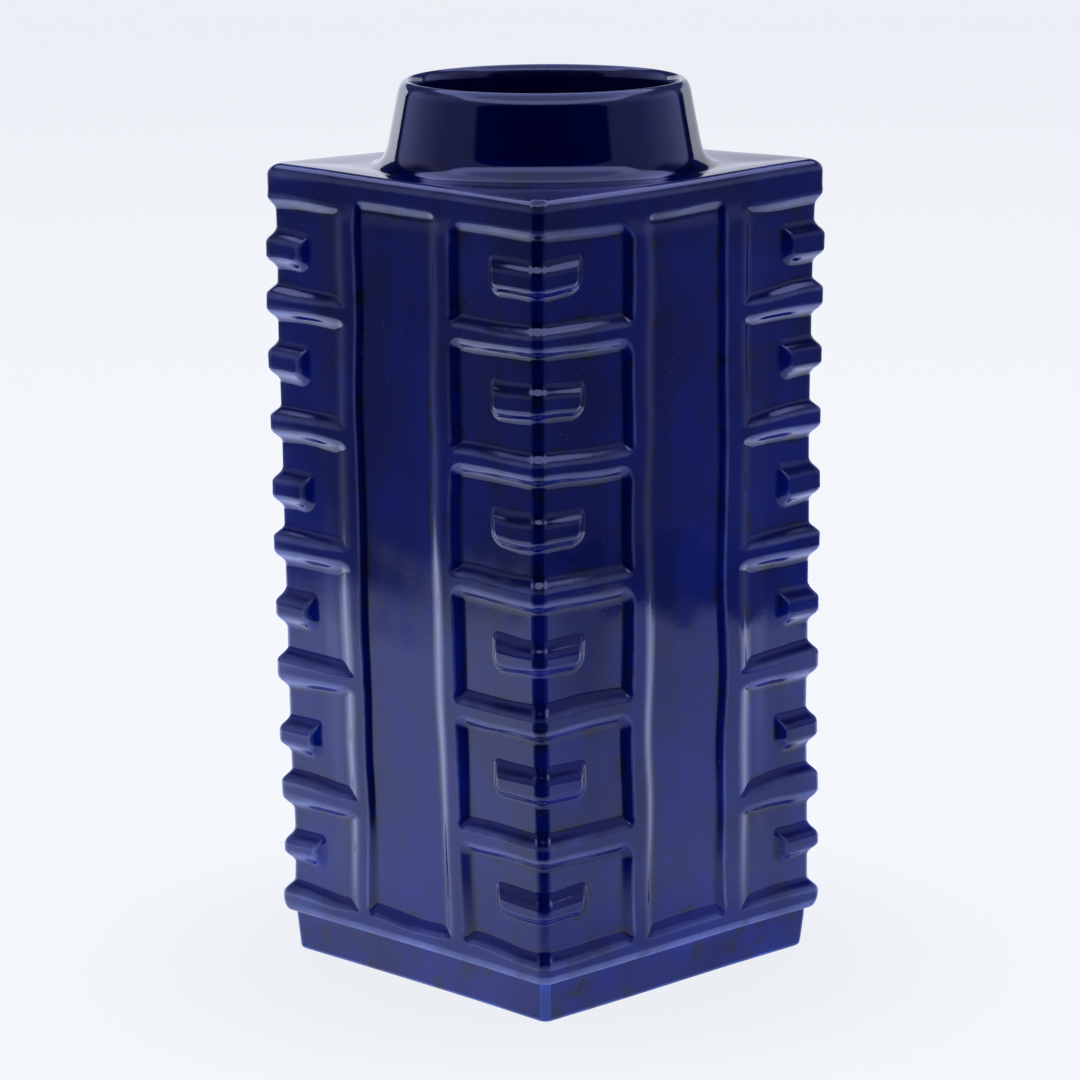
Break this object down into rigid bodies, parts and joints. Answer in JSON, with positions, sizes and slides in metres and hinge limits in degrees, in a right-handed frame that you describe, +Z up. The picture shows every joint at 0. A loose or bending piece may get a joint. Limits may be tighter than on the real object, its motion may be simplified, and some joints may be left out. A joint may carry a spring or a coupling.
{
  "type": "cong vase",
  "caption": "Square slab-built cong vase in glossy cobalt blue glaze, with relief bars, ridges and corner registers, a plain foot, a flat shoulder and a short round neck.",
  "frame": {"origin": "centre of the foot's underside, on the surface that the vase stands on", "axes": "+Z up the axis of the neck, walls facing -Y (front), +X (right), +Y (back) and -X (left)"},
  "size_m": [0.125, 0.125, 0.28],
  "materials": {
    "blue_glaze": "gloss",
    "foot_glaze": "gloss",
    "inner_glaze": "gloss"
  },
  "bodies": {
    "root": {"wall_front": "blue_glaze", "wall_right": "blue_glaze", "wall_back": "blue_glaze", "wall_left": "blue_glaze", "applied_bar_front_right_1": "blue_glaze", "applied_bar_front_right_2": "blue_glaze", "applied_bar_front_right_3": "blue_glaze", "applied_bar_front_right_4": "blue_glaze", "applied_bar_front_right_5": "blue_glaze", "applied_bar_front_right_6": "blue_glaze", "applied_bar_back_right_1": "blue_glaze", "applied_bar_back_right_2": "blue_glaze", "applied_bar_back_right_3": "blue_glaze", "applied_bar_back_right_4": "blue_glaze", "applied_bar_back_right_5": "blue_glaze", "applied_bar_back_right_6": "blue_glaze", "applied_bar_back_left_1": "blue_glaze", "applied_bar_back_left_2": "blue_glaze", "applied_bar_back_left_3": "blue_glaze", "applied_bar_back_left_4": "blue_glaze", "applied_bar_back_left_5": "blue_glaze", "applied_bar_back_left_6": "blue_glaze", "applied_bar_front_left_1": "blue_glaze", "applied_bar_front_left_2": "blue_glaze", "applied_bar_front_left_3": "blue_glaze", "applied_bar_front_left_4": "blue_glaze", "applied_bar_front_left_5": "blue_glaze", "applied_bar_front_left_6": "blue_glaze", "shoulder_slab": "blue_glaze", "neck": "blue_glaze", "neck_coil": "blue_glaze", "foot_front": "foot_glaze", "foot_right": "foot_glaze", "foot_back": "foot_glaze", "foot_left": "foot_glaze", "base_slab": "inner_glaze", "corner_coil_front_right": "inner_glaze", "corner_coil_back_right": "inner_glaze", "corner_coil_back_left": "inner_glaze", "corner_coil_front_left": "inner_glaze", "base_coil_front": "inner_glaze", "base_coil_right": "inner_glaze", "base_coil_back": "inner_glaze", "base_coil_left": "inner_glaze", "shoulder_coil_front": "inner_glaze", "shoulder_coil_right": "inner_glaze", "shoulder_coil_back": "inner_glaze", "shoulder_coil_left": "inner_glaze"}
  },
  "joints": []
}
